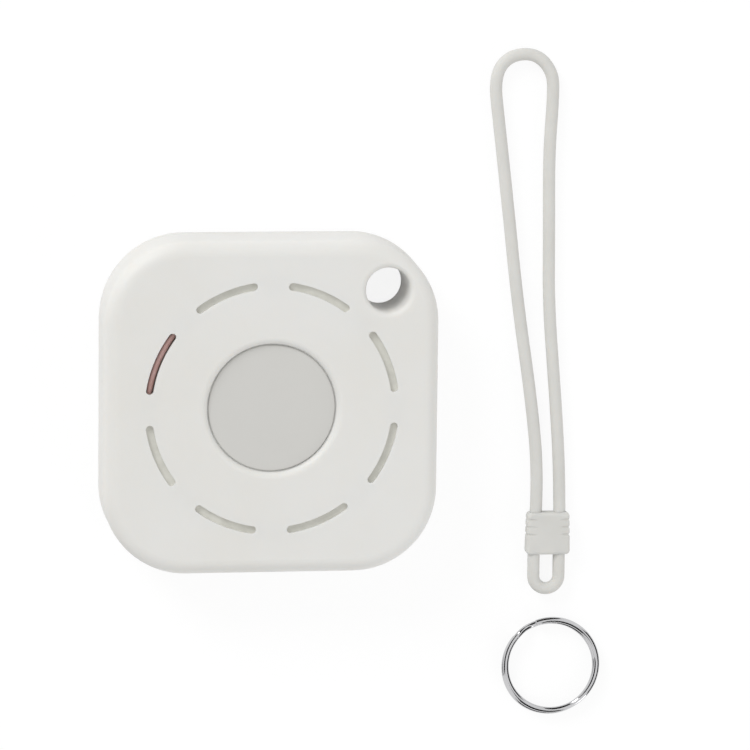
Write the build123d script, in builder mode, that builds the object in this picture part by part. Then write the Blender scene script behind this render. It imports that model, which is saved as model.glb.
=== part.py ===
from build123d import *
import os
from math import atan, cos, degrees, pi, radians, sin, tan

os.makedirs("parts", exist_ok=True)

# A bluetooth tracker tag with its silicone wrist loop and split ring, all lying on Z = 0.
# Millimetres. The origin is the middle of the tag's back face, and +Z points out of its button.

# Case
tag_size = 40.5
tag_thickness = 8.8
corner_radius = 10.1
front_edge_radius = 1.8
rear_edge_radius = 0.8
side_wall = 1.4
front_wall = 1.0
rear_wall = 1.4
seam_bevel = 0.2
rear_shift = 0.12
lip_height = 1.8
lip_wall = 1.0
lip_gap = 0.08
snap_length = 10
snap_height = 0.5
snap_reach = 0.2
snap_gap = 0.1

# Lanyard hole in the upper right corner
hole_radius = 2.7
hole_inset_x = 6.3
hole_inset_y = 6.05
hole_front_rim = 0.7
hole_rear_rim = 0.4
tube_wall = 1.0
tube_gap = 0.15

# Sound slots
slot_count = 8
slot_first_angle = 22.5
slot_ring_radius = 14.93
slot_half_span = 13.5
slot_width = 0.92

# Sound mesh, a woven dust cover in a recess behind the slots, open over the red lead
mesh_reach = 0.95
mesh_recess_depth = 0.5
mesh_sheet = 0.12
mesh_start_angle = 174
mesh_sweep = 327

# Button and its switch
button_radius = 7.7
button_gap = 0.1
button_rim = 0.8
button_recess = 0.65
button_edge = 0.2
button_travel = 0.3
flange_reach = 0.8
flange_height = 0.6
end_gap = 0.05
guide_wall = 0.4
guide_height = 1.2
switch_size = 5.2
switch_corner = 0.4
switch_lid = 0.3
plunger_radius = 1.4
plunger_flange = 0.5
plunger_flange_height = 0.25
plunger_gap = 0.1
dome_radius = 2.0
dome_height = 0.32
dome_sheet = 0.06

# Coin cell, 20 x 3.2
cell_diameter = 20
cell_height = 3.2
can_sheet = 0.3
can_edge = 0.25
gasket_wall = 0.35
cap_inset = 0.35
cell_gap = 0.35

# Battery door, a three-lug bayonet
door_recess = 0.15
door_wall = 0.8
door_gap = 0.1
door_flange = 1.2
door_edge = 0.2
door_rim_wall = 0.65
door_turn = 40
lug_count = 3
lug_sweep = 24
lug_first_angle = 78
lug_reach = 0.6
lug_height = 0.6
lug_slack = 2
ledge_height = 0.5
pip_height = 0.15
pip_radius = 0.8
pip_ring_radius = 6
coin_slot_length = 12
coin_slot_width = 1.8
coin_slot_depth = 0.45
seal_section = 0.5
seal_groove_width = 0.54
seal_groove_depth = 0.5
bay_wall = 1.0

# Circuit board and what it carries
contact_space = 0.7
board_sheet = 0.8
board_gap = 0.5
boss_inset = 6.9
boss_shift = 0.6
boss_radius = 1.5
screw_radius = 0.6
screw_head_radius = 1.3
screw_head_height = 0.6
screw_hole_gap = 0.15
screw_length = 2.2
cross_length = 1.4
cross_width = 0.3
contact_sheet = 0.15
contact_width = 4.8
contact_gap = 0.02
finger_root_x = -6
finger_bend_x = -2.4
finger_touch_x = 1.4
finger_tip_x = 2.6
finger_tip_rise = 0.3
blade_foot = 3.2

# Larger components on the board: place, size, height and corner radius of each
board_parts = {
    "radio_chip": ((0, -11.5), (4.0, 4.0), 0.85, 0.15),
    "crystal": ((5.6, -10.2), (3.2, 2.5), 0.75, 0.3),
    "chip_antenna": ((0, -17.2), (7.0, 1.6), 0.9, 0.1),
    "status_led": ((11.6, 0), (0.8, 1.6), 0.6, 0.1),
}
passive_columns = (-7.5, -5.9, -4.3)
passive_rows = (-9.6, -11.6)
passive_pair = ((-3.2, -14.4), (3.2, -14.4))
passive_size = (1.0, 0.5)
passive_height = 0.35

# Sounder and its two leads
sounder_radius = 4.5
sounder_angle = 114
sounder_gap = 0.65
sounder_ring_wall = 0.7
sounder_ring_height = 0.7
sounder_plate_sheet = 0.2
ceramic_radius = 3.2
ceramic_sheet = 0.2
solder_radius = 0.45
solder_height = 0.35
red_lead_diameter = 0.8
black_lead_diameter = 0.7
lead_gap = 0.02
lead_cover = 0.2

# Wrist loop
cord_diameter = 1.5
collar_center = (35.19, -17.2)
collar_width = 5.45
collar_flare = 1.3
collar_length = 5.25
collar_thickness = 2.0
collar_corner = 0.5
collar_edge = 0.4
collar_groove_radius = 0.22
collar_groove_pitch = 0.93
collar_groove_shift = 0.8
collar_groove_reach = 1.4
cord_depth = 0.8
eye_section = 1.5
eye_width = 4.65
eye_shift = -0.1
eye_reach = 5.1

# Split ring
ring_center = (35.92, -34.0)
ring_diameter = 12.1
ring_wire = 0.7
coil_gap = 0.04
ring_offset = (0.06, 0.3)
ring_start_angle = 140
ring_flat_sweep = 332
ring_ramp_sweep = 26

# Heights and radii worked out from the sizes above
half_size = tag_size / 2
inner_size = tag_size - 2 * side_wall
inner_front_z = tag_thickness - front_wall
lip_size = inner_size - 2 * lip_gap
hole_center = (half_size - hole_inset_x, half_size - hole_inset_y)
tube_radius = hole_radius + tube_wall
opening_radius = button_radius + button_gap
flange_radius = button_radius + flange_reach
guide_inner_radius = flange_radius + button_gap
guide_outer_radius = guide_inner_radius + guide_wall

cell_radius = cell_diameter / 2
door_inner_z = door_recess + door_wall
cell_z = door_inner_z + pip_height
cell_top_z = cell_z + cell_height
board_z = cell_top_z + contact_space
board_top_z = board_z + board_sheet
bore_radius = cell_radius + cell_gap
door_rim_radius = bore_radius + door_rim_wall
door_radius = door_rim_radius + door_flange
lug_radius = door_rim_radius + lug_reach
seal_radius = (door_rim_radius + door_radius) / 2
ledge_z = door_inner_z + end_gap
ledge_top_z = ledge_z + ledge_height
lug_z = ledge_top_z + end_gap
lug_top_z = lug_z + lug_height
channel_top_z = lug_top_z + 3 * end_gap
bay_radius = lug_radius + door_gap + bay_wall
bay_top_z = board_z - 2 * contact_sheet - end_gap

flange_top_z = inner_front_z - end_gap
flange_z = flange_top_z - flange_height
button_top_z = tag_thickness - button_recess
switch_top_z = flange_z - button_travel - end_gap
chamber_top_z = switch_top_z - switch_lid
plunger_z = chamber_top_z - plunger_flange_height - end_gap
dome_z = plunger_z - dome_height

boss_place = half_size - boss_inset
boss_centers = [
    (-boss_place, -boss_place),
    (boss_place, -boss_place),
    (-boss_place - boss_shift, boss_place),
]
sounder_place = guide_outer_radius + sounder_gap + sounder_radius
sounder_center = (
    sounder_place * cos(radians(sounder_angle)),
    sounder_place * sin(radians(sounder_angle)),
)
plate_z = board_top_z + sounder_ring_height
ceramic_z = plate_z + sounder_plate_sheet
ceramic_top_z = ceramic_z + ceramic_sheet
mesh_top_z = inner_front_z + mesh_recess_depth
cut_over = 0.5


# Adds a slice of a flat ring to the open sketch
def ring_sector(inner, outer, start, sweep):
    with BuildLine() as outline:
        outer_arc = CenterArc((0, 0), outer, start, sweep)
        inner_arc = CenterArc((0, 0), inner, start, sweep)
        Line(outer_arc @ 0, inner_arc @ 0)
        Line(outer_arc @ 1, inner_arc @ 1)
    make_face(outline.edges())


# Cuts a round hole with a rounded front rim into the open part
def cut_rimmed_hole(center, radius, rim, bottom_z, top_z):
    x, y = center
    section = Plane(origin=(x, y, 0), x_dir=(1, 0, 0), z_dir=(0, -1, 0))
    with BuildSketch(section) as profile:
        with BuildLine():
            Polyline(
                (radius, top_z - rim),
                (radius, bottom_z),
                (0, bottom_z),
                (0, top_z + cut_over),
                (radius + rim, top_z + cut_over),
                (radius + rim, top_z),
            )
            CenterArc((radius + rim, top_z - rim), rim, 90, 90)
        make_face()
    revolve(profile.sketch, axis=Axis((x, y, 0), (0, 0, 1)), mode=Mode.SUBTRACT)


# Labels a finished piece and writes its file
def save(builder, node):
    builder.part.label = node
    export_step(builder.part, f"parts/{node}.step")


# Front shell: face, side walls, lanyard tube, button guide and screw bosses
with BuildPart() as front_shell:
    with BuildSketch(Plane.XY.offset(rear_wall)):
        RectangleRounded(tag_size, tag_size, corner_radius)
    extrude(amount=tag_thickness - rear_wall)
    fillet(front_shell.faces().sort_by(Axis.Z)[-1].edges(), front_edge_radius)
    chamfer(front_shell.faces().sort_by(Axis.Z)[0].edges(), seam_bevel)
    with BuildSketch(Plane.XY.offset(rear_wall)):
        RectangleRounded(inner_size, inner_size, corner_radius - side_wall)
    extrude(amount=inner_front_z - rear_wall, mode=Mode.SUBTRACT)
    with PolarLocations(inner_size / 2, 4):
        with Locations((0, 0, rear_wall + lip_height / 2)):
            Box(
                2 * (snap_reach + snap_gap - lip_gap),
                snap_length + 2 * snap_gap,
                snap_height + 2 * snap_gap,
                mode=Mode.SUBTRACT,
            )
    with BuildSketch(Plane.XY.offset(rear_wall)):
        with Locations(hole_center):
            Circle(tube_radius)
    extrude(amount=inner_front_z - rear_wall)
    with BuildSketch(Plane.XY.offset(inner_front_z)):
        Circle(guide_outer_radius)
        Circle(guide_inner_radius, mode=Mode.SUBTRACT)
    extrude(amount=-guide_height)
    with BuildSketch(Plane.XY.offset(board_top_z)):
        with Locations(boss_centers):
            Circle(boss_radius)
    extrude(amount=inner_front_z - board_top_z)
    with BuildSketch(Plane.XY.offset(board_top_z)):
        with Locations(boss_centers):
            Circle(screw_radius)
    extrude(amount=screw_length - board_sheet, mode=Mode.SUBTRACT)
    with BuildSketch(Plane.XY.offset(inner_front_z)):
        Circle(slot_ring_radius + mesh_reach)
        Circle(slot_ring_radius - mesh_reach, mode=Mode.SUBTRACT)
    extrude(amount=mesh_recess_depth, mode=Mode.SUBTRACT)
    cut_rimmed_hole((0, 0), opening_radius, button_rim, inner_front_z - cut_over, tag_thickness)
    cut_rimmed_hole(hole_center, hole_radius, hole_front_rim, 0, tag_thickness)
    with BuildSketch(Plane.XY.offset(inner_front_z)):
        for index in range(slot_count):
            start = slot_first_angle + index * 360 / slot_count - slot_half_span
            slot_arc = CenterArc((0, 0), slot_ring_radius, start, 2 * slot_half_span, mode=Mode.PRIVATE)
            SlotArc(slot_arc, slot_width)
    extrude(amount=front_wall + cut_over, mode=Mode.SUBTRACT)
save(front_shell, "front_shell")

# Sound mesh behind the slots
with BuildPart() as sound_mesh:
    with BuildSketch(Plane.XY.offset(mesh_top_z)):
        ring_sector(
            slot_ring_radius - mesh_reach + end_gap,
            slot_ring_radius + mesh_reach - end_gap,
            mesh_start_angle,
            mesh_sweep,
        )
    extrude(amount=-mesh_sheet)
save(sound_mesh, "sound_mesh")

# Rear shell: back plate with the battery bay and the lip that snaps into the front shell
with BuildPart() as rear_shell:
    with BuildSketch():
        with Locations((rear_shift, rear_shift)):
            RectangleRounded(tag_size, tag_size, corner_radius)
    extrude(amount=rear_wall)
    fillet(rear_shell.faces().sort_by(Axis.Z)[0].edges(), rear_edge_radius)
    chamfer(rear_shell.faces().sort_by(Axis.Z)[-1].edges(), seam_bevel)
    with BuildSketch(Plane.XY.offset(rear_wall)):
        RectangleRounded(lip_size, lip_size, corner_radius - side_wall - lip_gap)
        RectangleRounded(
            lip_size - 2 * lip_wall,
            lip_size - 2 * lip_wall,
            corner_radius - side_wall - lip_gap - lip_wall,
            mode=Mode.SUBTRACT,
        )
        with Locations(hole_center):
            Circle(tube_radius + tube_gap, mode=Mode.SUBTRACT)
    extrude(amount=lip_height)
    with PolarLocations(lip_size / 2, 4):
        with Locations((0, 0, rear_wall + lip_height / 2)):
            Box(2 * snap_reach, snap_length, snap_height)
    with BuildSketch(Plane.XY.offset(rear_wall)):
        Circle(bay_radius)
    extrude(amount=bay_top_z - rear_wall)
    with BuildSketch(Plane.XY):
        Circle(door_radius + door_gap)
    extrude(amount=ledge_z, mode=Mode.SUBTRACT)
    with BuildSketch(Plane.XY.offset(ledge_z)):
        Circle(door_rim_radius + door_gap)
    extrude(amount=channel_top_z - ledge_z, mode=Mode.SUBTRACT)
    with BuildSketch(Plane.XY.offset(channel_top_z)):
        Circle(bore_radius)
    extrude(amount=bay_top_z - channel_top_z, mode=Mode.SUBTRACT)
    with BuildSketch(Plane.XY.offset(ledge_top_z)):
        for index in range(lug_count):
            start = lug_first_angle + index * 360 / lug_count - door_turn - lug_slack
            ring_sector(bore_radius, lug_radius + door_gap, start, lug_sweep + door_turn + 2 * lug_slack)
    extrude(amount=channel_top_z - ledge_top_z, mode=Mode.SUBTRACT)
    with BuildSketch(Plane.XY.offset(ledge_z)):
        for index in range(lug_count):
            start = lug_first_angle + index * 360 / lug_count - door_turn - lug_slack
            ring_sector(bore_radius, lug_radius + door_gap, start, lug_sweep + 2 * lug_slack)
    extrude(amount=ledge_height, mode=Mode.SUBTRACT)
    with Locations((bore_radius + bay_wall, 0, bay_top_z)):
        Box(
            2 * (bay_wall + door_rim_wall + lug_reach),
            contact_width + 4 * board_gap,
            2 * (bay_top_z - channel_top_z - ledge_height),
            mode=Mode.SUBTRACT,
        )
    with BuildSketch(Plane.XY):
        with Locations(hole_center):
            Circle(hole_radius)
    extrude(amount=rear_wall, mode=Mode.SUBTRACT)
    round_edges = rear_shell.edges().filter_by(GeomType.CIRCLE)
    hole_edges = round_edges.filter_by(lambda edge: abs(edge.radius - hole_radius) < end_gap / 2)
    chamfer(hole_edges.sort_by(Axis.Z)[0], hole_rear_rim)
save(rear_shell, "rear_shell")

# Battery door: turned with a coin, held by three lugs under the ledge of the rear shell
with BuildPart() as battery_door:
    with BuildSketch(Plane.XY.offset(door_recess)):
        Circle(door_radius)
    extrude(amount=door_wall)
    fillet(battery_door.faces().sort_by(Axis.Z)[0].edges(), door_edge)
    with BuildSketch(Plane.XY.offset(door_inner_z)):
        Circle(seal_radius + seal_groove_width / 2)
        Circle(seal_radius - seal_groove_width / 2, mode=Mode.SUBTRACT)
    extrude(amount=-seal_groove_depth, mode=Mode.SUBTRACT)
    with BuildSketch(Plane.XY.offset(door_inner_z)):
        Circle(door_rim_radius)
        Circle(bore_radius, mode=Mode.SUBTRACT)
    extrude(amount=lug_top_z - door_inner_z)
    with BuildSketch(Plane.XY.offset(lug_z)):
        for index in range(lug_count):
            start = lug_first_angle + index * 360 / lug_count
            ring_sector(door_rim_radius - door_rim_wall / 2, lug_radius, start, lug_sweep)
    extrude(amount=lug_height)
    with BuildSketch(Plane.XY.offset(door_inner_z)):
        with PolarLocations(pip_ring_radius, 3):
            Circle(pip_radius)
    extrude(amount=pip_height)
    with BuildSketch(Plane.XY.offset(door_recess)):
        SlotOverall(coin_slot_length, coin_slot_width)
    extrude(amount=coin_slot_depth, mode=Mode.SUBTRACT)
save(battery_door, "battery_door")

# Door seal: a rubber ring in the door's groove
with BuildPart() as door_seal:
    with BuildSketch(Plane.XZ):
        with Locations((seal_radius, door_inner_z - seal_section / 2 + end_gap / 2)):
            Circle(seal_section / 2)
    revolve(axis=Axis.Z)
save(door_seal, "door_seal")

# Button: a disc in the opening with a flange behind the front wall
with BuildPart() as button_cap:
    with BuildSketch(Plane.XY.offset(flange_z)):
        Circle(flange_radius)
    extrude(amount=flange_height)
    with BuildSketch(Plane.XY.offset(flange_z)):
        Circle(button_radius)
    extrude(amount=button_top_z - flange_z)
    fillet(button_cap.faces().sort_by(Axis.Z)[-1].edges(), button_edge)
save(button_cap, "button_cap")

# Switch housing with its stepped chamber
with BuildPart() as switch_body:
    with BuildSketch(Plane.XY.offset(board_top_z)):
        RectangleRounded(switch_size, switch_size, switch_corner)
    extrude(amount=switch_top_z - board_top_z)
    with BuildSketch(Plane.XY.offset(dome_z)):
        Circle(dome_radius + plunger_gap)
    extrude(amount=chamber_top_z - dome_z, mode=Mode.SUBTRACT)
    with BuildSketch(Plane.XY.offset(chamber_top_z)):
        Circle(plunger_radius + plunger_gap)
    extrude(amount=switch_lid, mode=Mode.SUBTRACT)
save(switch_body, "switch_body")

# Plunger: carries the press from the button to the dome
with BuildPart() as switch_plunger:
    with BuildSketch(Plane.XY.offset(plunger_z)):
        Circle(plunger_radius + plunger_flange - plunger_gap)
    extrude(amount=plunger_flange_height)
    with BuildSketch(Plane.XY.offset(plunger_z)):
        Circle(plunger_radius)
    extrude(amount=flange_z - plunger_z)
save(switch_plunger, "switch_plunger")

# Snap dome: a thin spherical cap on the board
dome_sphere = (dome_radius**2 + dome_height**2) / (2 * dome_height)
with BuildPart() as switch_dome:
    with BuildSketch(Plane.XZ):
        with Locations((0, dome_z + dome_height - dome_sphere)):
            Circle(dome_sphere)
            Circle(dome_sphere - dome_sheet, mode=Mode.SUBTRACT)
        with Locations((dome_radius / 2, dome_z + dome_height / 2)):
            Rectangle(dome_radius, dome_height, mode=Mode.INTERSECT)
    revolve(axis=Axis.Z)
save(switch_dome, "switch_dome")

# Circuit board, cut back round the lanyard tube
with BuildPart() as main_board:
    with BuildSketch(Plane.XY.offset(board_z)):
        board_size = inner_size - 2 * board_gap
        RectangleRounded(board_size, board_size, corner_radius - side_wall - board_gap)
        with Locations(hole_center):
            Circle(tube_radius + board_gap, mode=Mode.SUBTRACT)
        with Locations(boss_centers):
            Circle(screw_radius + screw_hole_gap, mode=Mode.SUBTRACT)
    extrude(amount=board_sheet)
save(main_board, "main_board")


# A flat rectangular component soldered to the front of the board
def board_block(node, center, size, height, corner):
    with BuildPart() as block:
        with BuildSketch(Plane.XY.offset(board_top_z)):
            with Locations(center):
                RectangleRounded(size[0], size[1], corner)
        extrude(amount=height)
    save(block, node)


for block_name, block_sizes in board_parts.items():
    board_block(block_name, *block_sizes)

# Small resistors and capacitors round the radio chip, one node for the group
with BuildPart() as passives:
    with BuildSketch(Plane.XY.offset(board_top_z)):
        with Locations([(x, y) for x in passive_columns for y in passive_rows]):
            Rectangle(passive_size[1], passive_size[0])
        with Locations(passive_pair):
            Rectangle(*passive_size)
    extrude(amount=passive_height)
save(passives, "passives")

# Sounder: a support ring, a brass plate and a ceramic disc
with BuildPart() as sounder_ring:
    with BuildSketch(Plane.XY.offset(board_top_z)):
        with Locations(sounder_center):
            Circle(sounder_radius)
            Circle(sounder_radius - sounder_ring_wall, mode=Mode.SUBTRACT)
    extrude(amount=sounder_ring_height)
save(sounder_ring, "sounder_ring")

with BuildPart() as sounder_plate:
    with BuildSketch(Plane.XY.offset(plate_z)):
        with Locations(sounder_center):
            Circle(sounder_radius)
    extrude(amount=sounder_plate_sheet)
save(sounder_plate, "sounder_plate")

with BuildPart() as sounder_ceramic:
    with BuildSketch(Plane.XY.offset(ceramic_z)):
        with Locations(sounder_center):
            Circle(ceramic_radius)
    extrude(amount=ceramic_sheet)
save(sounder_ceramic, "sounder_ceramic")


# Solder joints stand at both ends of each lead, and the leads start and end at their sides
red_start = (sounder_center[0] - 1.7, sounder_center[1] - 1.9)
red_end = (-13.2, -4.4)
black_start = (sounder_center[0] + 3.7, sounder_center[1] - 1.0)
black_end = (sounder_center[0] + 8.38, sounder_center[1] - 1.77)
solder_places = [
    (red_start, ceramic_top_z),
    (red_end, board_top_z),
    (black_start, ceramic_z),
    (black_end, board_top_z),
]
with BuildPart() as solder_joints:
    for center, height in solder_places:
        with BuildSketch(Plane.XY.offset(height)):
            with Locations(center):
                Circle(solder_radius)
        extrude(amount=solder_height)
save(solder_joints, "solder_joints")


# Bend radius for each corner of a route: 0.45 of the shorter run over the tangent of half the turn
def bend_radii(points):
    route = [Vector(*point) for point in points]
    radii = []
    for before, corner, after in zip(route, route[1:], route[2:]):
        run_in = corner - before
        run_out = after - corner
        half_turn = radians(run_in.get_angle(run_out)) / 2
        radii.append(0.45 * min(run_in.length, run_out.length) / tan(half_turn))
    return radii


# A round tube along straight runs joined by tangent arcs
def save_tube(node, points, diameter):
    radii = bend_radii(points)
    with BuildPart() as tube:
        with BuildLine() as route:
            FilletPolyline(*points, radius=radii)
        start = route.wires()[0]
        with BuildSketch(Plane(origin=start @ 0, z_dir=start % 0)):
            Circle(diameter / 2)
        sweep(path=start)
    save(tube, node)
    print(node, "radii", [round(radius, 1) for radius in radii])
    straight_volume = start.length * pi * diameter**2 / 4
    ratio = tube.part.volume / straight_volume
    print(node, "length", round(start.length, 2), "volume ratio", round(ratio, 4))
    return tube


# Sounder leads. The red one rises into the gap in the mesh and runs there under the left upper slot.
lead_reach = solder_radius + lead_gap
red_z = ceramic_top_z + red_lead_diameter / 2 + lead_gap
red_high_z = mesh_top_z - lead_cover - red_lead_diameter / 2
red_pad_z = board_top_z + red_lead_diameter / 2 + lead_gap
red_route = [
    (red_start[0] - lead_reach, red_start[1], red_z),
    (-10.6, 10.2, red_z),
    (-12.35, 8.4, red_high_z),
    (-14.0, 5.25, red_high_z),
    (-14.87, 1.9, red_high_z),
    (-14.75, -1.3, red_z - 0.1),
    (red_end[0] - 0.2, red_end[1] + lead_reach + 0.1, red_pad_z),
]
save_tube("sounder_lead_red", red_route, red_lead_diameter)
black_z = ceramic_z + black_lead_diameter / 2 + lead_gap
black_pad_z = board_top_z + black_lead_diameter / 2 + lead_gap
black_route = [
    (black_start[0] + lead_reach, black_start[1], black_z),
    (sounder_center[0] + 5.7, sounder_center[1] - 1.1, black_z - 0.1),
    (sounder_center[0] + 6.8, sounder_center[1] - 1.6, black_z - 0.5),
    (black_end[0] - lead_reach, black_end[1], black_pad_z),
]
save_tube("sounder_lead_black", black_route, black_lead_diameter)

# Coin cell: can, insulating gasket and cap
with BuildPart() as cell_can:
    with BuildSketch(Plane.XY.offset(cell_z)):
        Circle(cell_radius)
    extrude(amount=cell_height - can_sheet)
    fillet(cell_can.faces().sort_by(Axis.Z)[0].edges(), can_edge)
    with BuildSketch(Plane.XY.offset(cell_z + can_sheet)):
        Circle(cell_radius - can_sheet)
    extrude(amount=cell_height, mode=Mode.SUBTRACT)
save(cell_can, "cell_can")

with BuildPart() as cell_gasket:
    with BuildSketch(Plane.XY.offset(cell_z + can_sheet)):
        Circle(cell_radius - can_sheet)
        Circle(cell_radius - can_sheet - gasket_wall, mode=Mode.SUBTRACT)
    extrude(amount=cell_height - 2 * can_sheet)
save(cell_gasket, "cell_gasket")

with BuildPart() as cell_cap:
    with BuildSketch(Plane.XY.offset(cell_z + can_sheet)):
        Circle(cell_radius - can_sheet - gasket_wall)
    extrude(amount=cell_height - can_sheet)
    fillet(cell_cap.faces().sort_by(Axis.Z)[-1].edges(), cap_inset)
save(cell_cap, "cell_cap")

# Contacts: a sprung finger on the cap, and a blade down the side of the can
with BuildPart() as contact_negative:
    with BuildSketch(Plane.XZ):
        with BuildLine():
            Polyline(
                (finger_root_x, board_z - contact_sheet / 2),
                (finger_bend_x, board_z - contact_sheet / 2),
                (finger_touch_x, cell_top_z + contact_sheet / 2 + contact_gap),
                (finger_tip_x, cell_top_z + contact_sheet / 2 + finger_tip_rise),
            )
        trace(line_width=contact_sheet)
    extrude(amount=contact_width / 2, both=True)
save(contact_negative, "contact_negative")

with BuildPart() as contact_positive:
    with BuildSketch(Plane.XZ):
        with BuildLine():
            Polyline(
                (cell_radius + blade_foot, board_z - contact_sheet / 2),
                (cell_radius + contact_sheet / 2 + contact_gap, board_z - contact_sheet / 2),
                (cell_radius + contact_sheet / 2 + contact_gap, channel_top_z + 2 * ledge_height),
            )
        trace(line_width=contact_sheet)
    extrude(amount=contact_width / 2, both=True)
save(contact_positive, "contact_positive")

# Three cross-head screws that hold the board to the front shell
with BuildPart() as board_screws:
    with BuildSketch(Plane.XY.offset(board_z - screw_head_height)):
        with Locations(boss_centers):
            Circle(screw_head_radius)
    extrude(amount=screw_head_height)
    with BuildSketch(Plane.XY.offset(board_z)):
        with Locations(boss_centers):
            Circle(screw_radius)
    extrude(amount=screw_length)
    with BuildSketch(Plane.XY.offset(board_z - screw_head_height)):
        with Locations(boss_centers):
            Rectangle(cross_length, cross_width)
            Rectangle(cross_width, cross_length)
    extrude(amount=screw_head_height / 2, mode=Mode.SUBTRACT)
save(board_screws, "board_screws")

# Wrist loop cord: leaves the collar, runs up, round the end and back
collar_top_y = collar_center[1] + collar_length / 2
collar_bottom_y = collar_center[1] - collar_length / 2
collar_z = collar_thickness / 2
cord_z = cord_diameter / 2
cord_start = (33.66, collar_top_y - cord_depth, collar_z)
cord_end = (36.66, collar_top_y - cord_depth, collar_z)
cord_route = [
    cord_start,
    (33.95, -10.0, cord_z),
    (32.95, -0.7, cord_z),
    (31.0, 11.6, cord_z),
    (29.62, 23.6, cord_z),
    (28.4, 33.4, cord_z),
    (27.72, 38.9, cord_z),
    (29.3, 41.55, cord_z),
    (32.75, 41.95, cord_z),
    (34.95, 39.6, cord_z),
    (35.0, 36.2, cord_z),
    (34.6, 29.6, cord_z),
    (34.8, 19.6, cord_z),
    (34.88, 11.2, cord_z),
    (35.8, 1.0, cord_z),
    (36.35, -5.8, cord_z),
    (36.62, -11.0, cord_z),
    cord_end,
]
strap_cord = save_tube("strap_cord", cord_route, cord_diameter)

# Collar: moulded over both ends of the cord, with three finger grooves down each side and onto its face
with BuildPart() as strap_collar:
    with BuildSketch() as collar_outline:
        with Locations(collar_center):
            Trapezoid(collar_width, collar_length, 90 - collar_flare)
        fillet(collar_outline.vertices(), collar_corner)
    extrude(amount=collar_thickness)
    fillet(strap_collar.edges().group_by(Axis.Z)[-1], collar_edge)
    fillet(strap_collar.edges().group_by(Axis.Z)[0], collar_edge)
    for side in (-1, 1):
        for step in (-1, 0, 1):
            x = collar_center[0] + side * collar_width / 2
            y = collar_center[1] + collar_groove_shift + step * collar_groove_pitch
            with Locations((x, y, collar_z)):
                Cylinder(collar_groove_radius, 2 * collar_thickness, mode=Mode.SUBTRACT)
            tilt = degrees(atan(collar_groove_radius / collar_groove_reach))
            with Locations(Location((x, y, collar_thickness), (0, 90 + side * tilt, 0))):
                Cylinder(collar_groove_radius, 2 * collar_groove_reach, mode=Mode.SUBTRACT)
    add(strap_cord.part, mode=Mode.SUBTRACT)
    for side in (-1, 1):
        x = collar_center[0] + eye_shift + side * (eye_width - eye_section) / 2
        with BuildSketch(Plane(origin=(x, collar_bottom_y + cord_depth, collar_z), z_dir=(0, -1, 0))):
            Circle(eye_section / 2)
        extrude(amount=2 * cord_depth, mode=Mode.SUBTRACT)
save(strap_collar, "strap_collar")

# Eye: the small loop below the collar that goes on the split ring
with BuildPart() as strap_eye:
    eye_half = (eye_width - eye_section) / 2
    eye_x = collar_center[0] + eye_shift
    eye_turn_y = collar_bottom_y - eye_reach + eye_section / 2 + eye_half
    with BuildLine() as eye_path:
        down = Line(
            (eye_x - eye_half, collar_bottom_y + cord_depth, collar_z),
            (eye_x - eye_half, eye_turn_y, collar_z),
        )
        turn = CenterArc((eye_x, eye_turn_y, collar_z), eye_half, 180, 180)
        Line(turn @ 1, (eye_x + eye_half, collar_bottom_y + cord_depth, collar_z))
    with BuildSketch(Plane(origin=down @ 0, z_dir=down % 0)):
        Circle(eye_section / 2)
    sweep(path=eye_path.wires()[0])
save(strap_eye, "strap_eye")

# Split ring: two turns of wire that lie on each other a little out of line, joined by a short ramp
with BuildPart() as split_ring:
    coil_radius = (ring_diameter - ring_wire) / 2
    middle = Vector(ring_center[0], ring_center[1], ring_wire / 2)
    shift = Vector(ring_offset[0], ring_offset[1], 0)
    lower_center = middle - shift / 2
    upper_center = middle + shift / 2 + Vector(0, 0, ring_wire + coil_gap)
    upper_start_angle = ring_start_angle + ring_flat_sweep + ring_ramp_sweep
    with BuildLine() as coil:
        lower_turn = CenterArc(lower_center, coil_radius, ring_start_angle, ring_flat_sweep)
        upper_turn = CenterArc(upper_center, coil_radius, upper_start_angle, ring_flat_sweep)
        Spline(lower_turn @ 1, upper_turn @ 0, tangents=(lower_turn % 1, upper_turn % 0))
    with BuildSketch(Plane(origin=lower_turn @ 0, z_dir=lower_turn % 0)):
        Circle(ring_wire / 2)
    sweep(path=coil.wires()[0])
save(split_ring, "split_ring")
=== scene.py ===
import bpy
from math import cos, pi, radians, sin
from mathutils import Matrix, Vector


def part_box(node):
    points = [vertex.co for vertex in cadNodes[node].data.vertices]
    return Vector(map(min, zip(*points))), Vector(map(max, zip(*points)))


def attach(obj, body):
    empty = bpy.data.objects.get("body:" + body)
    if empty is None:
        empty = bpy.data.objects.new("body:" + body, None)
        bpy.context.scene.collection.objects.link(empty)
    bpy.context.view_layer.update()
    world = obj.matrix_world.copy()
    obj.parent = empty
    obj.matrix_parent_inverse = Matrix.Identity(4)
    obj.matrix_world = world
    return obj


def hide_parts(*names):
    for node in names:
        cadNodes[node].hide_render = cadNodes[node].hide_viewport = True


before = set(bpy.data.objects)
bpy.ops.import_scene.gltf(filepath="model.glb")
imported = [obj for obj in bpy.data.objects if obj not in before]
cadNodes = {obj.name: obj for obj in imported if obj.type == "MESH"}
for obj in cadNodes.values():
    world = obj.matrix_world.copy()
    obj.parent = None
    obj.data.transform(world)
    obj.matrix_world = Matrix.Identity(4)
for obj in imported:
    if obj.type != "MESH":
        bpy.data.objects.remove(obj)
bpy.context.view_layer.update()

# camera, looking down at the tag's face from its upper left

viewSetup = {
    "target": (0.01367, 0.00253, 0.0),
    "distance": 0.5853,
    "yaw": 8.42,
    "pitch": 9.24,
    "roll": 0.68,
    "lens": 230.4,
}


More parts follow.
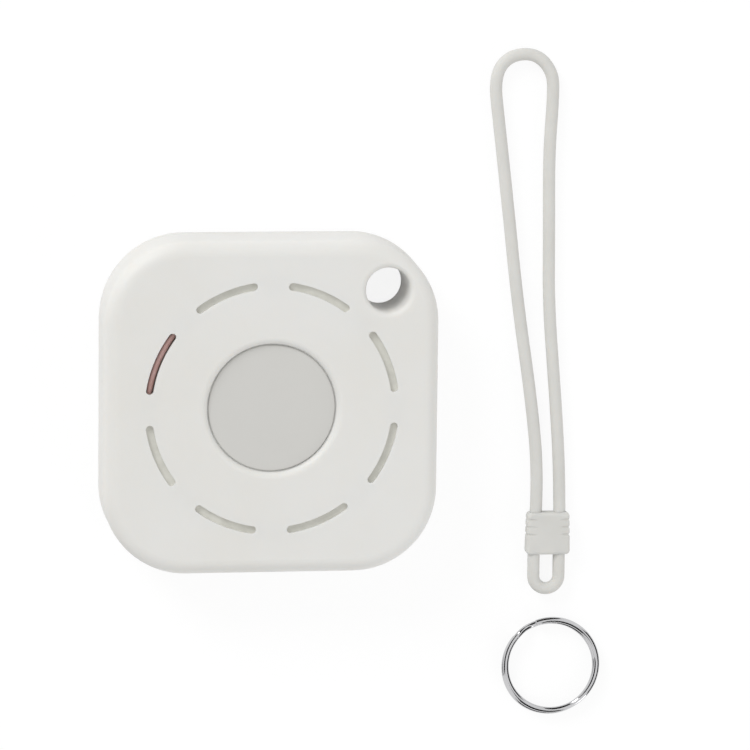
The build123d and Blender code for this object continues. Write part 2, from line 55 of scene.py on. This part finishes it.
def addCamera(setup):
    yaw, pitch, roll = (radians(setup[key]) for key in ("yaw", "pitch", "roll"))
    back = Vector((-sin(yaw) * cos(pitch), sin(pitch), cos(yaw) * cos(pitch)))
    level = Vector((0, 1, 0)).cross(back).normalized()
    upright = back.cross(level)
    right = level * cos(roll) + upright * sin(roll)
    up = upright * cos(roll) - level * sin(roll)
    data = bpy.data.cameras.new("viewCamera")
    data.lens = setup["lens"]
    data.clip_start = 0.01
    data.clip_end = 10
    camera = bpy.data.objects.new("viewCamera", data)
    turn = Matrix((right, up, back)).transposed().to_4x4()
    camera.matrix_world = Matrix.Translation(Vector(setup["target"]) + back * setup["distance"]) @ turn
    bpy.context.scene.collection.objects.link(camera)
    bpy.context.scene.camera = camera


addCamera(viewSetup)
print("camera placed")

# wrist loop cord: the same route as the CAD tube, as one smooth spline

cordSetup = {
    "diameter": 0.0015,
    "endHeight": 0.001,
    "length": 0.1189,
    "route": [
        (0.03366, -0.015375),
        (0.03395, -0.0100),
        (0.03295, -0.0007),
        (0.0310, 0.0116),
        (0.02962, 0.0236),
        (0.0284, 0.0334),
        (0.02772, 0.0389),
        (0.0293, 0.04155),
        (0.03275, 0.04195),
        (0.03495, 0.0396),
        (0.0350, 0.0362),
        (0.0346, 0.0296),
        (0.0348, 0.0196),
        (0.03488, 0.0112),
        (0.0358, 0.0010),
        (0.03635, -0.0058),
        (0.03662, -0.0110),
        (0.03666, -0.015375),
    ],
}


def addCord(setup):
    radius = setup["diameter"] / 2
    data = bpy.data.curves.new("wristCord", "CURVE")
    data.dimensions = "3D"
    data.bevel_depth = 1  # each point carries the tube radius itself
    data.bevel_resolution = 10
    data.resolution_u = 24
    data.use_fill_caps = True
    spline = data.splines.new("NURBS")
    spline.points.add(len(setup["route"]) - 1)
    for index, (x, y) in enumerate(setup["route"]):
        atEnd = index in (0, len(setup["route"]) - 1)
        spline.points[index].co = (x, y, setup["endHeight"] if atEnd else radius, 1)
        spline.points[index].radius = radius
    spline.order_u = 3
    spline.use_endpoint_u = True
    cord = bpy.data.objects.new("wristCord", data)
    bpy.context.scene.collection.objects.link(cord)
    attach(cord, "wrist_loop")
    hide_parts("strap_cord")
    return cord


cord = addCord(cordSetup)
print("cord laid")

# painted light: a thin pale ring laid just under the button's top in the gap round it, covering the gap's
# dark shade

gapShadeCoverSetup = {
    "radius": 0.00775,
    "thickness": 0.00009,
    "below": 0.0001,
    "steps": 96,
}


def addGapShadeCover(setup):
    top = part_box("button_cap")[1].z - setup["below"]
    data = bpy.data.curves.new("buttonGapShadeCover", "CURVE")
    data.dimensions = "3D"
    data.bevel_depth = 1
    data.bevel_resolution = 4
    spline = data.splines.new("POLY")
    spline.points.add(setup["steps"] - 1)
    spline.use_cyclic_u = True
    for index, point in enumerate(spline.points):
        angle = 2 * pi * index / setup["steps"]
        point.co = (setup["radius"] * cos(angle), setup["radius"] * sin(angle), top, 1)
        point.radius = setup["thickness"] / 2
    lip = bpy.data.objects.new("buttonGapShadeCover", data)
    bpy.context.scene.collection.objects.link(lip)
    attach(lip, "tag")
    return lip


buttonGapShadeCover = addGapShadeCover(gapShadeCoverSetup)
print("button lip laid")


# shared shader groups

def newGroup(name, inputs, outputs):
    group = bpy.data.node_groups.new(name, "ShaderNodeTree")
    for label, kind, value in inputs:
        socket = group.interface.new_socket(label, in_out="INPUT", socket_type=kind)
        socket.default_value = value
    for label, kind in outputs:
        group.interface.new_socket(label, in_out="OUTPUT", socket_type=kind)
    start = group.nodes.new("NodeGroupInput")
    end = group.nodes.new("NodeGroupOutput")
    return group, start, end


def addNode(tree, kind, **settings):
    node = tree.nodes.new(kind)
    for key, value in settings.items():
        setattr(node, key, value)
    return node


def mathNode(tree, operation, first, second, clamp=False):
    node = addNode(tree, "ShaderNodeMath", operation=operation, use_clamp=clamp)
    for socket, value in zip(node.inputs, (first, second)):
        if isinstance(value, (int, float)):
            socket.default_value = value
        else:
            tree.links.new(value, socket)
    return node.outputs[0]


def noiseNode(tree, scale, detail, roughness, stretch=(1, 1, 1)):
    # scale and stretch act on object coordinates, which are metres in the row frame
    place = addNode(tree, "ShaderNodeTexCoord")
    mapping = addNode(tree, "ShaderNodeMapping")
    mapping.inputs["Scale"].default_value = stretch
    tree.links.new(place.outputs["Object"], mapping.inputs["Vector"])
    noise = addNode(tree, "ShaderNodeTexNoise")
    tree.links.new(mapping.outputs[0], noise.inputs["Vector"])
    if isinstance(scale, (int, float)):
        noise.inputs["Scale"].default_value = scale
    else:
        tree.links.new(scale, noise.inputs["Scale"])
    noise.inputs["Detail"].default_value = detail
    noise.inputs["Roughness"].default_value = roughness
    return noise


# fine spark-eroded texture of a mould: small even bumps with a little unevenness in their size
def makeMouldGrain():
    group, start, end = newGroup(
        "mouldGrain",
        [("Scale", "NodeSocketFloat", 4000), ("Unevenness", "NodeSocketFloat", 0.3)],
        [("Height", "NodeSocketFloat"), ("Sheen Spots", "NodeSocketFloat")],
    )
    fine = noiseNode(group, start.outputs["Scale"], 3, 0.6)
    broadScale = mathNode(group, "MULTIPLY", start.outputs["Scale"], 0.09)
    broad = noiseNode(group, broadScale, 2, 0.5)
    uneven = mathNode(group, "MULTIPLY", broad.outputs[0], start.outputs["Unevenness"])
    height = mathNode(group, "ADD", fine.outputs[0], uneven)
    group.links.new(height, end.inputs["Height"])
    spots = mathNode(group, "MULTIPLY", fine.outputs[0], broad.outputs[0])
    group.links.new(spots, end.inputs["Sheen Spots"])
    return group


# slow drift of a colour over a surface, as in batch-mixed plastic and handled rubber
def makeColourDrift():
    group, start, end = newGroup(
        "colourDrift",
        [
            ("Colour A", "NodeSocketColor", (0.8, 0.8, 0.8, 1)),
            ("Colour B", "NodeSocketColor", (0.75, 0.75, 0.75, 1)),
            ("Scale", "NodeSocketFloat", 90),
        ],
        [("Colour", "NodeSocketColor"), ("Mask", "NodeSocketFloat")],
    )
    noise = noiseNode(group, start.outputs["Scale"], 3, 0.55)
    ramp = addNode(group, "ShaderNodeMapRange")
    ramp.inputs["From Min"].default_value = 0.35
    ramp.inputs["From Max"].default_value = 0.65
    group.links.new(noise.outputs[0], ramp.inputs["Value"])
    mix = addNode(group, "ShaderNodeMix", data_type="RGBA")
    group.links.new(ramp.outputs[0], mix.inputs["Factor"])
    group.links.new(start.outputs["Colour A"], mix.inputs["A"])
    group.links.new(start.outputs["Colour B"], mix.inputs["B"])
    group.links.new(mix.outputs["Result"], end.inputs["Colour"])
    group.links.new(ramp.outputs[0], end.inputs["Mask"])
    return group


# a small radius on every edge, with the surface's own bumps on top
def makeSoftEdge():
    group, start, end = newGroup(
        "softEdge",
        [
            ("Radius", "NodeSocketFloat", 0.0001),
            ("Height", "NodeSocketFloat", 0),
            ("Depth", "NodeSocketFloat", 0.00001),
        ],
        [("Normal", "NodeSocketVector")],
    )
    bevel = addNode(group, "ShaderNodeBevel", samples=6)
    group.links.new(start.outputs["Radius"], bevel.inputs["Radius"])
    bump = addNode(group, "ShaderNodeBump")
    group.links.new(start.outputs["Height"], bump.inputs["Height"])
    group.links.new(start.outputs["Depth"], bump.inputs["Distance"])
    group.links.new(bevel.outputs[0], bump.inputs["Normal"])
    group.links.new(bump.outputs[0], end.inputs["Normal"])
    return group


# fine drawn or rolled lines on metal
def makeDrawLines():
    group, start, end = newGroup(
        "drawLines",
        [("Scale", "NodeSocketFloat", 3000)],
        [("Height", "NodeSocketFloat"), ("Roughness Mask", "NodeSocketFloat")],
    )
    lines = noiseNode(group, start.outputs["Scale"], 4, 0.6, (0.06, 1, 0.06))
    cloud = noiseNode(group, 400, 2, 0.5)
    mask = mathNode(group, "MULTIPLY", lines.outputs[0], cloud.outputs[0])
    group.links.new(lines.outputs[0], end.inputs["Height"])
    group.links.new(mask, end.inputs["Roughness Mask"])
    return group


mouldGrain = makeMouldGrain()
colourDrift = makeColourDrift()
softEdge = makeSoftEdge()
drawLines = makeDrawLines()
print("shader groups made")


# materials

def placeGroup(tree, group, values):
    node = addNode(tree, "ShaderNodeGroup", node_tree=group)
    for label, value in values.items():
        node.inputs[label].default_value = value
    return node


def newMaterial(name):
    material = bpy.data.materials.new(name)
    material.use_nodes = True
    tree = material.node_tree
    shader = tree.nodes["Principled BSDF"]
    return material, tree, shader


def mouldedMaterial(name, look):
    material, tree, shader = newMaterial(name)
    drift = placeGroup(tree, colourDrift, {
        "Colour A": (*look["colour"], 1),
        "Colour B": (*look["drift"], 1),
        "Scale": look["driftScale"],
    })
    grain = placeGroup(tree, mouldGrain, {"Scale": look["grainScale"], "Unevenness": 0.35})
    edge = placeGroup(tree, softEdge, {"Radius": look["edge"], "Depth": look["grainDepth"]})
    tree.links.new(drift.outputs["Colour"], shader.inputs["Base Color"])
    tree.links.new(grain.outputs["Height"], edge.inputs["Height"])
    tree.links.new(edge.outputs["Normal"], shader.inputs["Normal"])
    rough = addNode(tree, "ShaderNodeMapRange")
    rough.inputs["From Max"].default_value = 0.5
    rough.inputs["To Min"].default_value = look["rough"][0]
    rough.inputs["To Max"].default_value = look["rough"][1]
    tree.links.new(grain.outputs["Sheen Spots"], rough.inputs["Value"])
    tree.links.new(rough.outputs[0], shader.inputs["Roughness"])
    shader.inputs["Specular IOR Level"].default_value = look.get("specular", 0.4)
    shader.inputs["Subsurface Weight"].default_value = look.get("scatter", 0)
    shader.inputs["Subsurface Radius"].default_value = (1, 0.9, 0.8)
    shader.inputs["Subsurface Scale"].default_value = 0.001
    return material


def metalMaterial(name, look):
    material, tree, shader = newMaterial(name)
    drift = placeGroup(tree, colourDrift, {
        "Colour A": (*look["colour"], 1),
        "Colour B": (*look["drift"], 1),
        "Scale": look["driftScale"],
    })
    lines = placeGroup(tree, drawLines, {"Scale": look["lineScale"]})
    edge = placeGroup(tree, softEdge, {"Radius": look["edge"], "Depth": look["lineDepth"]})
    tree.links.new(drift.outputs["Colour"], shader.inputs["Base Color"])
    tree.links.new(lines.outputs["Height"], edge.inputs["Height"])
    tree.links.new(edge.outputs["Normal"], shader.inputs["Normal"])
    rough = addNode(tree, "ShaderNodeMapRange")
    rough.inputs["From Max"].default_value = 0.5
    rough.inputs["To Min"].default_value = look["rough"][0]
    rough.inputs["To Max"].default_value = look["rough"][1]
    tree.links.new(lines.outputs["Roughness Mask"], rough.inputs["Value"])
    tree.links.new(rough.outputs[0], shader.inputs["Roughness"])
    shader.inputs["Metallic"].default_value = 1
    return material


plasticLooks = {
    "shellWhite": {
        "colour": (0.80, 0.79, 0.755),
        "drift": (0.815, 0.81, 0.785),
        "driftScale": 60,
        "grainScale": 9000,
        "grainDepth": 0.000004,
        "edge": 0.00012,
        "rough": (0.42, 0.55),
        "specular": 0.4,
        "scatter": 0.3,
    },
    "buttonGrey": {
        "colour": (0.645, 0.638, 0.61),
        "drift": (0.655, 0.648, 0.62),
        "driftScale": 110,
        "grainScale": 12000,
        "grainDepth": 0.000003,
        "edge": 0.0001,
        "rough": (0.4, 0.5),
    },
    "siliconeGrey": {
        "colour": (0.715, 0.71, 0.68),
        "drift": (0.685, 0.68, 0.65),
        "driftScale": 220,
        "grainScale": 7000,
        "grainDepth": 0.000006,
        "edge": 0.0001,
        "rough": (0.6, 0.75),
        "specular": 0.3,
        "scatter": 0.25,
    },
    "dustMesh": {
        "colour": (0.74, 0.735, 0.68),
        "drift": (0.67, 0.665, 0.61),
        "driftScale": 700,
        "grainScale": 16000,
        "grainDepth": 0.00001,
        "edge": 0.00002,
        "rough": (0.7, 0.85),
        "specular": 0.2,
    },
    "sealRubber": {
        "colour": (0.03, 0.03, 0.03),
        "drift": (0.045, 0.045, 0.043),
        "driftScale": 300,
        "grainScale": 8000,
        "grainDepth": 0.000004,
        "edge": 0.00004,
        "rough": (0.6, 0.75),
    },
    "blackPlastic": {
        "colour": (0.03, 0.03, 0.032),
        "drift": (0.04, 0.04, 0.042),
        "driftScale": 400,
        "grainScale": 14000,
        "grainDepth": 0.000003,
        "edge": 0.00005,
        "rough": (0.45, 0.6),
    },
    "creamPlastic": {
        "colour": (0.72, 0.70, 0.62),
        "drift": (0.68, 0.66, 0.58),
        "driftScale": 400,
        "grainScale": 14000,
        "grainDepth": 0.000003,
        "edge": 0.00005,
        "rough": (0.4, 0.55),
    },
    "boardWhite": {
        "colour": (0.70, 0.70, 0.66),
        "drift": (0.66, 0.665, 0.62),
        "driftScale": 500,
        "grainScale": 6000,
        "grainDepth": 0.000002,
        "edge": 0.00004,
        "rough": (0.3, 0.4),
    },
    "partCeramic": {
        "colour": (0.45, 0.36, 0.26),
        "drift": (0.38, 0.3, 0.22),
        "driftScale": 900,
        "grainScale": 15000,
        "grainDepth": 0.000003,
        "edge": 0.00004,
        "rough": (0.35, 0.5),
    },
    "ledResin": {
        "colour": (0.85, 0.83, 0.66),
        "drift": (0.82, 0.8, 0.6),
        "driftScale": 900,
        "grainScale": 9000,
        "grainDepth": 0.000001,
        "edge": 0.00005,
        "rough": (0.15, 0.25),
    },
    "redInsulation": {
        "colour": (0.76, 0.50, 0.47),
        "drift": (0.70, 0.43, 0.39),
        "driftScale": 500,
        "grainScale": 12000,
        "grainDepth": 0.000002,
        "edge": 0.00005,
        "rough": (0.35, 0.5),
    },
    "blackInsulation": {
        "colour": (0.02, 0.02, 0.02),
        "drift": (0.03, 0.03, 0.03),
        "driftScale": 500,
        "grainScale": 12000,
        "grainDepth": 0.000002,
        "edge": 0.00005,
        "rough": (0.35, 0.5),
    },
    "gasketNylon": {
        "colour": (0.06, 0.06, 0.07),
        "drift": (0.08, 0.08, 0.09),
        "driftScale": 400,
        "grainScale": 12000,
        "grainDepth": 0.000002,
        "edge": 0.00004,
        "rough": (0.4, 0.5),
    },
    "piezoCeramic": {
        "colour": (0.66, 0.65, 0.58),
        "drift": (0.58, 0.57, 0.5),
        "driftScale": 600,
        "grainScale": 12000,
        "grainDepth": 0.000003,
        "edge": 0.00004,
        "rough": (0.3, 0.45),
    },
}

metalLooks = {
    "ringChrome": {
        "colour": (0.60, 0.60, 0.61),
        "drift": (0.55, 0.55, 0.56),
        "driftScale": 500,
        "lineScale": 9000,
        "lineDepth": 0.0000006,
        "edge": 0.00003,
        "rough": (0.06, 0.16),
    },
    "nickelSteel": {
        "colour": (0.66, 0.65, 0.63),
        "drift": (0.6, 0.59, 0.57),
        "driftScale": 300,
        "lineScale": 5000,
        "lineDepth": 0.000002,
        "edge": 0.00006,
        "rough": (0.22, 0.38),
    },
    "springMetal": {
        "colour": (0.70, 0.66, 0.56),
        "drift": (0.64, 0.6, 0.5),
        "driftScale": 400,
        "lineScale": 7000,
        "lineDepth": 0.000002,
        "edge": 0.00005,
        "rough": (0.2, 0.35),
    },
    "sounderBrass": {
        "colour": (0.60, 0.50, 0.26),
        "drift": (0.54, 0.44, 0.22),
        "driftScale": 350,
        "lineScale": 4000,
        "lineDepth": 0.000002,
        "edge": 0.00004,
        "rough": (0.3, 0.45),
    },
    "brightSolder": {
        "colour": (0.7, 0.7, 0.72),
        "drift": (0.6, 0.6, 0.62),
        "driftScale": 1500,
        "lineScale": 2500,
        "lineDepth": 0.00002,
        "edge": 0.00012,
        "rough": (0.2, 0.4),
    },
}

materials = {name: mouldedMaterial(name, look) for name, look in plasticLooks.items()}
materials.update({name: metalMaterial(name, look) for name, look in metalLooks.items()})
print("materials made:", len(materials))

nodeFinish = {
    "shellWhite": ["front_shell", "rear_shell", "battery_door"],
    "buttonGrey": ["button_cap"],
    "dustMesh": ["sound_mesh"],
    "sealRubber": ["door_seal"],
    "blackPlastic": ["switch_body", "radio_chip", "sounder_ring"],
    "creamPlastic": ["switch_plunger"],
    "springMetal": ["switch_dome", "contact_negative", "contact_positive"],
    "boardWhite": ["main_board"],
    "partCeramic": ["chip_antenna", "passives"],
    "nickelSteel": ["crystal", "cell_can", "cell_cap", "board_screws"],
    "ledResin": ["status_led"],
    "sounderBrass": ["sounder_plate"],
    "piezoCeramic": ["sounder_ceramic"],
    "redInsulation": ["sounder_lead_red"],
    "blackInsulation": ["sounder_lead_black"],
    "brightSolder": ["solder_joints"],
    "gasketNylon": ["cell_gasket"],
    "siliconeGrey": ["strap_collar", "strap_eye"],
    "ringChrome": ["split_ring"],
}


def finishPiece(piece, material):
    if piece.material_slots:
        for slot in piece.material_slots:
            slot.material = material
    else:
        piece.data.materials.append(material)


for finish, names in nodeFinish.items():
    for name in names:
        finishPiece(cadNodes[name], materials[finish])
finishPiece(cord, materials["siliconeGrey"])
# the pale ring in the button's gap is painted light over the gap's shade
finishPiece(buttonGapShadeCover, materials["siliconeGrey"])
print("finishes set")

# studio: a white floor that keeps the shadow, a low key lamp from the upper left, a low fill from the right
# and dark cards round the horizon that only the metal shows

studioSetup = {
    "floorSize": 3.0,
    "floorDrop": 0.00002,
    "floorColour": 0.80,
    "floorSeenColour": 0.15,
    "floorLift": 0.87,
    "skyLevel": 0.66,
    "lamps": {
        "keyLamp": {"place": (-0.60, 0.74, 0.52), "size": 0.5, "power": 5.2},
        "fillLamp": {"place": (0.72, -0.55, 0.38), "size": 0.6, "power": 1.9},
    },
    "aim": (0.01, 0, 0),
}

cardSetup = {
    "middle": (0.0359, -0.034),
    "reach": 0.16,
    "low": 0.0,
    "turns": [(68, 112, 0.42), (128, 206, 0.2), (244, 292, 0.4), (316, 388, 0.22)],
    "colour": 0.015,
}


def addFloor(setup):
    half = setup["floorSize"] / 2
    mesh = bpy.data.meshes.new("studioFloor")
    corners = [(-half, -half, 0), (half, -half, 0), (half, half, 0), (-half, half, 0)]
    mesh.from_pydata(corners, [], [(0, 1, 2, 3)])
    floor = bpy.data.objects.new("studioFloor", mesh)
    floor.location.z = -setup["floorDrop"]
    bpy.context.scene.collection.objects.link(floor)
    material, tree, shader = newMaterial("floorPaper")
    shader.inputs["Roughness"].default_value = 0.9
    shader.inputs["Specular IOR Level"].default_value = 0
    seen = seenRays(tree)
    shade = addNode(tree, "ShaderNodeMix", data_type="RGBA")
    shade.inputs["A"].default_value = (*[setup["floorColour"]] * 3, 1)
    shade.inputs["B"].default_value = (*[setup["floorSeenColour"]] * 3, 1)
    tree.links.new(seen, shade.inputs["Factor"])
    tree.links.new(shade.outputs["Result"], shader.inputs["Base Color"])
    shader.inputs["Emission Color"].default_value = (1, 1, 1, 1)
    tree.links.new(mathNode(tree, "MULTIPLY", seen, setup["floorLift"]), shader.inputs["Emission Strength"])
    mesh.materials.append(material)


# 1 for rays that show the background itself: to the camera, in a reflection or through glass
def seenRays(tree):
    lightPath = addNode(tree, "ShaderNodeLightPath")
    seen = mathNode(tree, "MAXIMUM", lightPath.outputs["Is Camera Ray"], lightPath.outputs["Is Glossy Ray"])
    return mathNode(tree, "MAXIMUM", seen, lightPath.outputs["Is Transmission Ray"])


def addLamp(name, lampSetup, aim):
    data = bpy.data.lights.new(name, "AREA")
    data.shape = "DISK"
    data.size = lampSetup["size"]
    data.energy = lampSetup["power"]
    lamp = bpy.data.objects.new(name, data)
    lamp.location = lampSetup["place"]
    lamp.rotation_euler = (Vector(aim) - Vector(lampSetup["place"])).to_track_quat("-Z", "Y").to_euler()
    bpy.context.scene.collection.objects.link(lamp)


def setSky(setup):
    world = bpy.data.worlds.new("studioSky")
    bpy.context.scene.world = world
    world.use_nodes = True
    tree = world.node_tree
    sky = tree.nodes["Background"]
    sky.inputs["Color"].default_value = (1, 1, 1, 1)
    seen = seenRays(tree)
    rest = mathNode(tree, "MULTIPLY", mathNode(tree, "SUBTRACT", 1, seen), setup["skyLevel"])
    tree.links.new(mathNode(tree, "ADD", seen, rest), sky.inputs["Strength"])


def addCards(setup):
    material, tree, shader = newMaterial("cardBlack")
    shader.inputs["Base Color"].default_value = (*[setup["colour"]] * 3, 1)
    shader.inputs["Roughness"].default_value = 1
    for index, (start, stop, height) in enumerate(setup["turns"]):
        mesh = bpy.data.meshes.new(f"darkCard{index}")
        points = []
        for angle in range(start, stop + 1, 4):
            x = setup["middle"][0] + setup["reach"] * cos(radians(angle))
            y = setup["middle"][1] + setup["reach"] * sin(radians(angle))
            points += [(x, y, setup["low"]), (x, y, height)]
        faces = [(n, n + 2, n + 3, n + 1) for n in range(0, len(points) - 2, 2)]
        mesh.from_pydata(points, [], faces)
        mesh.materials.append(material)
        card = bpy.data.objects.new(f"darkCard{index}", mesh)
        bpy.context.scene.collection.objects.link(card)
        card.visible_camera = False
        card.visible_diffuse = False
        card.visible_shadow = False
        card.visible_transmission = False


addFloor(studioSetup)
for name, lampSetup in studioSetup["lamps"].items():
    addLamp(name, lampSetup, studioSetup["aim"])
setSky(studioSetup)
addCards(cardSetup)
bpy.context.scene.view_settings.view_transform = "Standard"
print("studio lit")

bpy.context.view_layer.update()
